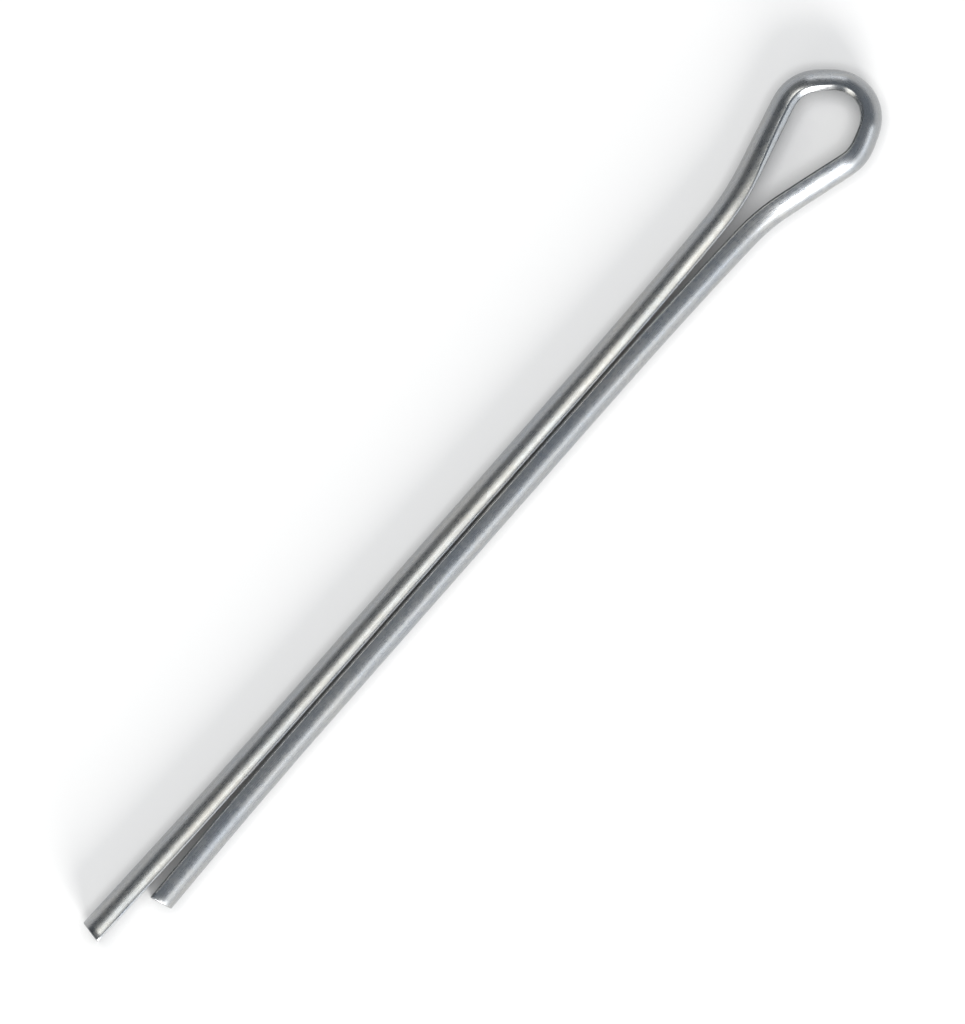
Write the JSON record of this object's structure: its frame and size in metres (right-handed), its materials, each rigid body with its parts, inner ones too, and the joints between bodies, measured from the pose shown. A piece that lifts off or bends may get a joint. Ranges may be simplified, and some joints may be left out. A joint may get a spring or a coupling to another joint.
{
  "type": "cotter pin",
  "caption": "Split cotter pin of half-round wire folded into an eye; its uneven legs close into a round shank that goes through a cross hole and is spread to lock.",
  "frame": {"origin": "on the shank's axis at the seat, where the eye meets the rim of its hole", "axes": "+X along the shank from the eye to the tips, +Y to the side of the short leg, +Z square to the plane of the eye, up as the pin lies"},
  "size_m": [0.0659, 0.0066, 0.0028],
  "materials": {
    "zinc_steel": "satin-bright zinc plate over drawn half-round wire"
  },
  "bodies": {
    "root": {"cotter_pin": "zinc_steel"}
  },
  "joints": []
}
